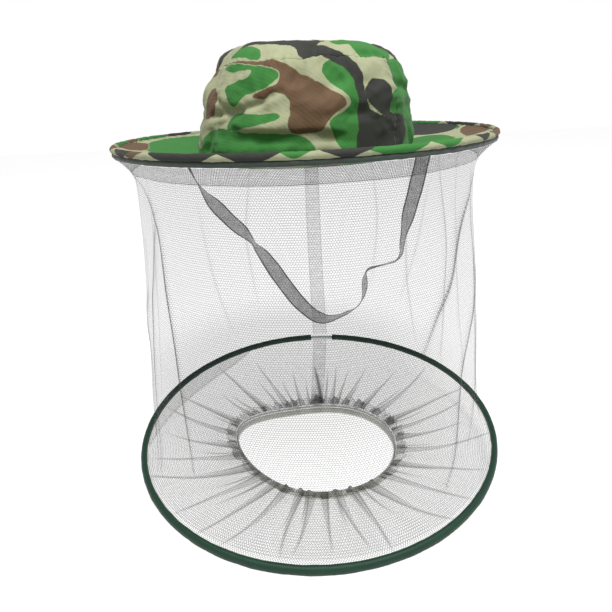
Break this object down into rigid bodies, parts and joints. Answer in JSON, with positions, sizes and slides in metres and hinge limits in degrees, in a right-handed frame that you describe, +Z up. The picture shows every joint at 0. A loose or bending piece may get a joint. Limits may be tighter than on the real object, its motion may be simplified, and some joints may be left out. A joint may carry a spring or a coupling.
{
  "type": "beekeeping hat with veil",
  "caption": "Soft camouflage hat whose wired rim carries a hanging net veil with a wire hoop below, a gathered elastic neck opening and a chin strap.",
  "frame": {"origin": "centre of the head opening at the base of the crown", "axes": "+Z up along the crown's axis; the wearer faces -Y, so +X is the wearer's left"},
  "size_m": [0.366, 0.376, 0.416],
  "materials": {
    "camo_cloth": "matt printed cotton, woodland camouflage of green, sage, brown and black",
    "sweatband": "matt dark green twill tape",
    "spring_wire": "bright drawn spring wire",
    "ferrule": "crimped steel tube",
    "rim_binding": "matt dark green binding tape",
    "green_tape": "dark green ribbed binding tape, slight sheen",
    "clear_sleeve": "clear flexible tube",
    "net": "fine black knitted mesh",
    "doubled_net": "two plies of fine black knitted mesh",
    "neck_hem": "gathered mesh folded over elastic",
    "elastic": "woven elastic tape",
    "strap_ribbon": "sheer grey ribbon with firmer edges"
  },
  "bodies": {
    "hat": {"crown_top_panel": "camo_cloth", "crown_front_panel": "camo_cloth", "crown_left_panel": "camo_cloth", "crown_back_panel": "camo_cloth", "crown_right_panel": "camo_cloth", "sweatband": "sweatband", "brim_top_cloth": "camo_cloth", "brim_underside_cloth": "camo_cloth", "rim_wire": "spring_wire", "rim_wire_ferrule": "ferrule", "rim_casing": "camo_cloth", "rim_binding": "rim_binding", "veil_net": "net", "veil_top_hem": "doubled_net", "veil_seam_strip": "doubled_net", "strap_tack_left": "strap_ribbon", "strap_tack_right": "strap_ribbon"},
    "lower_hoop": {"hoop_wire": "spring_wire", "hoop_joiner": "clear_sleeve", "hoop_binding": "green_tape", "floor_net": "net", "floor_seam_strip": "doubled_net"},
    "neck_band": {"neck_hem": "neck_hem", "neck_elastic": "elastic"},
    "chin_strap": {"chin_strap": "strap_ribbon"}
  },
  "joints": [
    {"name": "hoop_lift", "type": "slide", "parent": "hat", "child": "lower_hoop", "axis": [0, 0, 1], "range_m": [0, 0.27], "deforming": ["veil_net", "veil_seam_strip", "chin_strap"]},
    {"name": "neck_lift", "type": "slide", "parent": "lower_hoop", "child": "neck_band", "axis": [0, 0, 1], "range_m": [0, 0.024], "deforming": ["floor_net", "floor_seam_strip"]},
    {"name": "strap_swing", "type": "hinge", "parent": "hat", "child": "chin_strap", "pos_m": [0, 0, -0.002], "axis": [-1, 0, 0], "range_deg": [-8, 25]}
  ]
}
